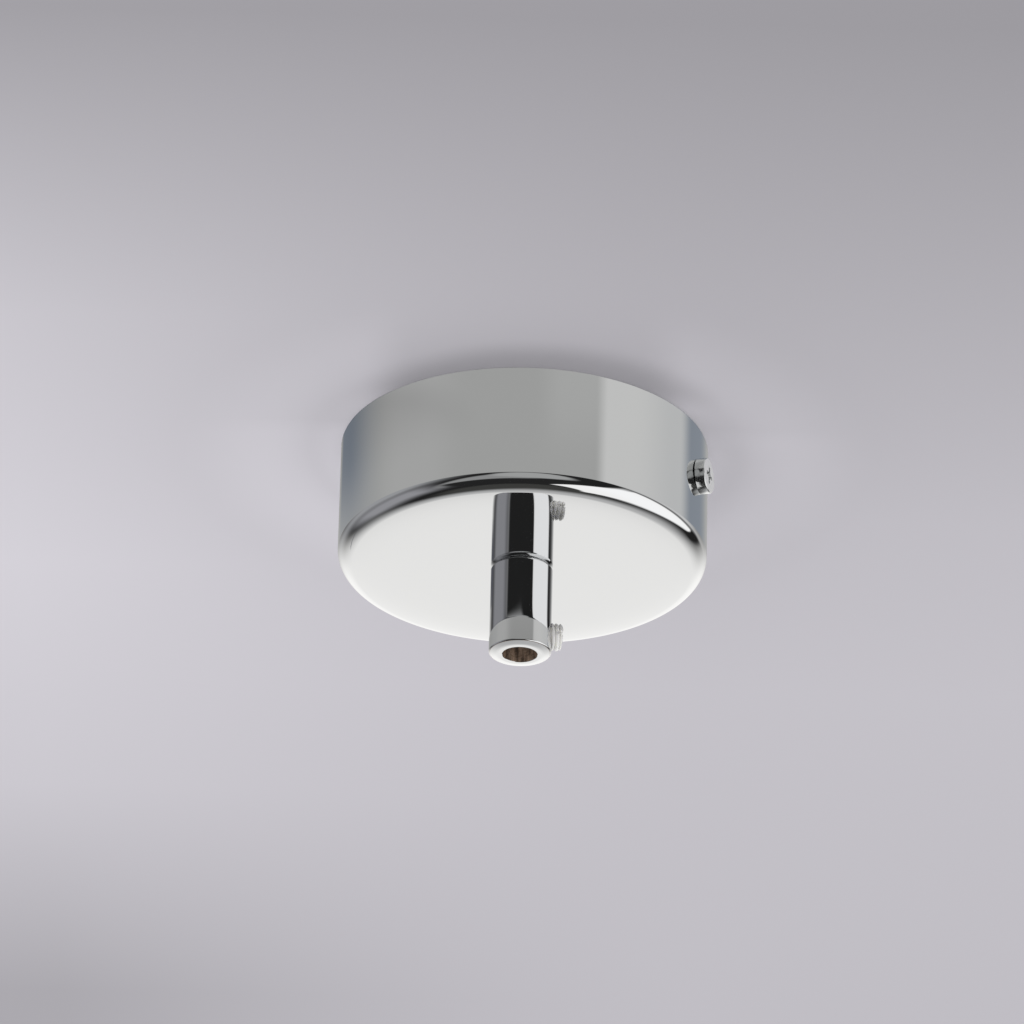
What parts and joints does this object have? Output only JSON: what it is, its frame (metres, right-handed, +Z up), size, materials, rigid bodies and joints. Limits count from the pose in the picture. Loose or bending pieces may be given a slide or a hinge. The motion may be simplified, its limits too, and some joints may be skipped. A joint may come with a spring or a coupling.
{
  "type": "electrical ceiling rose",
  "caption": "Round metal ceiling rose with side cover screws, an inner bracket with terminals, and a cord grip with a clear clamping screw.",
  "frame": {"origin": "on the ceiling plane, on the cup's axis, midway between the two ceiling slots", "axes": "+Z up towards the ceiling, +X along the bracket towards the right cover screw, +Y towards the terminal block"},
  "size_m": [0.0822, 0.08, 0.049],
  "materials": {
    "chrome": "polished chrome plate",
    "nylon": "clear moulded nylon",
    "screw_steel": "bright zinc plate",
    "bracket_steel": "zinc plated steel sheet",
    "brass": "plain turned brass",
    "block_plastic": "moulded ivory plastic"
  },
  "bodies": {
    "rose": {"canopy_cup": "chrome", "cord_grip_body": "chrome", "threaded_nipple": "bracket_steel", "nipple_washer": "bracket_steel", "nipple_lock_washer": "screw_steel", "nipple_nut": "bracket_steel", "mounting_bracket": "bracket_steel", "earth_nut": "brass", "terminal_block": "block_plastic", "terminal_sleeve_1": "brass", "terminal_sleeve_2": "brass", "terminal_sleeve_3": "brass", "block_screw_1": "screw_steel", "block_screw_2": "screw_steel"},
    "clamp": {"grip_screw": "nylon"},
    "cover_right": {"cover_screw_right": "screw_steel"},
    "cover_left": {"cover_screw_left": "screw_steel"},
    "earth": {"earth_screw": "brass", "earth_cup_washer": "brass"},
    "terminal_1": {"terminal_screw_1": "screw_steel"},
    "terminal_2": {"terminal_screw_2": "screw_steel"},
    "terminal_3": {"terminal_screw_3": "screw_steel"},
    "terminal_4": {"terminal_screw_4": "screw_steel"},
    "terminal_5": {"terminal_screw_5": "screw_steel"},
    "terminal_6": {"terminal_screw_6": "screw_steel"}
  },
  "joints": [
    {"name": "grip_screw_slide", "type": "slide", "parent": "rose", "child": "clamp", "axis": [0.8854, 0.4648, 0], "range_m": [-0.0026, 0.002]},
    {"name": "cover_screw_right_slide", "type": "slide", "parent": "rose", "child": "cover_right", "axis": [1, 0, 0], "range_m": [0, 0.006]},
    {"name": "cover_screw_left_slide", "type": "slide", "parent": "rose", "child": "cover_left", "axis": [-1, 0, 0], "range_m": [0, 0.006]},
    {"name": "earth_screw_slide", "type": "slide", "parent": "rose", "child": "earth", "axis": [0, -1, 0], "range_m": [0, 0.003]},
    {"name": "terminal_screw_1_slide", "type": "slide", "parent": "rose", "child": "terminal_1", "axis": [0, 0, -1], "range_m": [-0.0024, 0.0012]},
    {"name": "terminal_screw_2_slide", "type": "slide", "parent": "rose", "child": "terminal_2", "axis": [0, 0, -1], "range_m": [-0.0024, 0.0012]},
    {"name": "terminal_screw_3_slide", "type": "slide", "parent": "rose", "child": "terminal_3", "axis": [0, 0, -1], "range_m": [-0.0024, 0.0012]},
    {"name": "terminal_screw_4_slide", "type": "slide", "parent": "rose", "child": "terminal_4", "axis": [0, 0, -1], "range_m": [-0.0024, 0.0012]},
    {"name": "terminal_screw_5_slide", "type": "slide", "parent": "rose", "child": "terminal_5", "axis": [0, 0, -1], "range_m": [-0.0024, 0.0012]},
    {"name": "terminal_screw_6_slide", "type": "slide", "parent": "rose", "child": "terminal_6", "axis": [0, 0, -1], "range_m": [-0.0024, 0.0012]}
  ]
}
